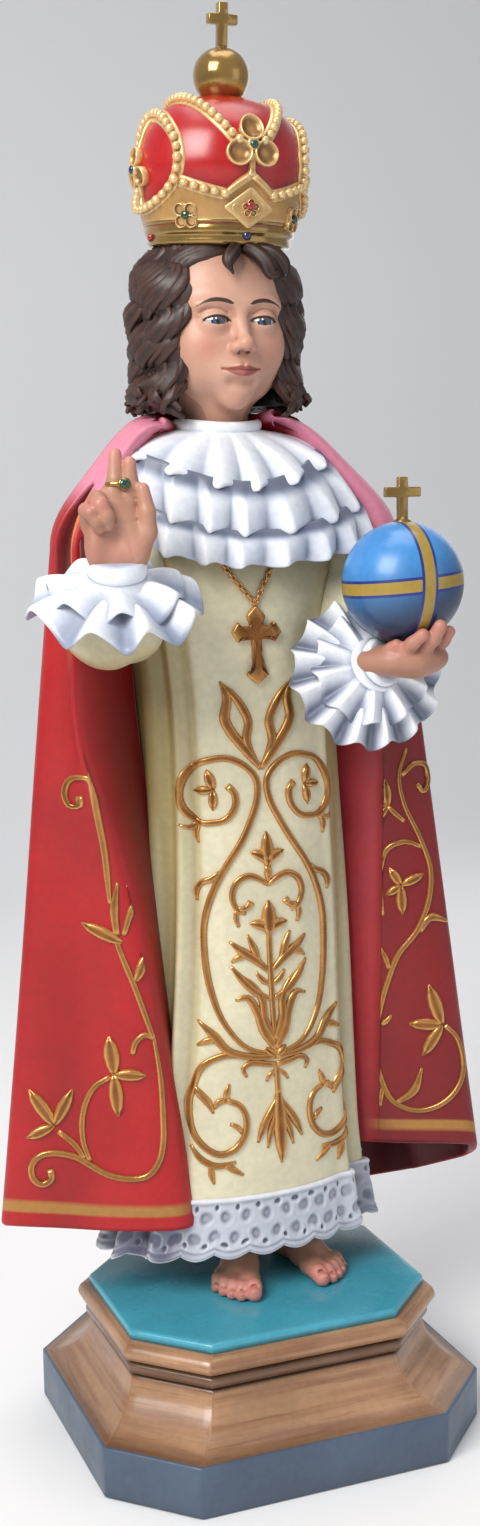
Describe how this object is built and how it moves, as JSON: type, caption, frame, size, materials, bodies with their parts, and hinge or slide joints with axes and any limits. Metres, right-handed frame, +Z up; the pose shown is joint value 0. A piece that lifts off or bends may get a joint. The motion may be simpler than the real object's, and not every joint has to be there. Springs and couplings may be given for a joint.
{
  "type": "religious studio statue",
  "caption": "Painted standing statue of a crowned child king, right hand raised in blessing, a cross-topped globe in the left, in a laced gown and cape on a moulded plinth",
  "frame": {"origin": "centre of the plinth's flat underside", "axes": "+Z up, the figure faces -Y, and its left hand with the globe is at +X"},
  "size_m": [0.452, 0.3145, 1.2002],
  "materials": {
    "painted_casting": "satin hand-painted casting, many colours",
    "gown_paint": "satin cream paint with olive shading in the folds",
    "cape_paint": "satin red paint, darker in the folds",
    "lace_paint": "satin white paint with blue-grey shading",
    "skin_paint": "satin flesh paint",
    "hair_paint": "satin dark brown paint",
    "gold_paint": "satin to gloss gold paint",
    "red_enamel": "gloss red paint",
    "slab_paint": "gloss turquoise paint",
    "globe_paint": "gloss sky blue paint with a gold band",
    "plinth_wood": "satin stained wood grain above a painted block",
    "block_paint": "satin grey-blue paint on wood",
    "green_stone": "faceted glossy green",
    "blue_stone": "faceted glossy dark blue",
    "red_stone": "faceted glossy red"
  },
  "bodies": {
    "root": {"plinth": "plinth_wood", "figure": "painted_casting", "globe": "globe_paint", "crown": "gold_paint", "stone_1": "green_stone", "stone_2": "green_stone", "stone_3": "blue_stone", "stone_4": "blue_stone", "stone_5": "red_stone", "stone_6": "red_stone", "stone_7": "green_stone", "stone_8": "green_stone", "stone_9": "green_stone", "stone_10": "green_stone", "stone_11": "blue_stone", "stone_12": "blue_stone", "stone_13": "red_stone", "stone_14": "red_stone"}
  },
  "joints": []
}
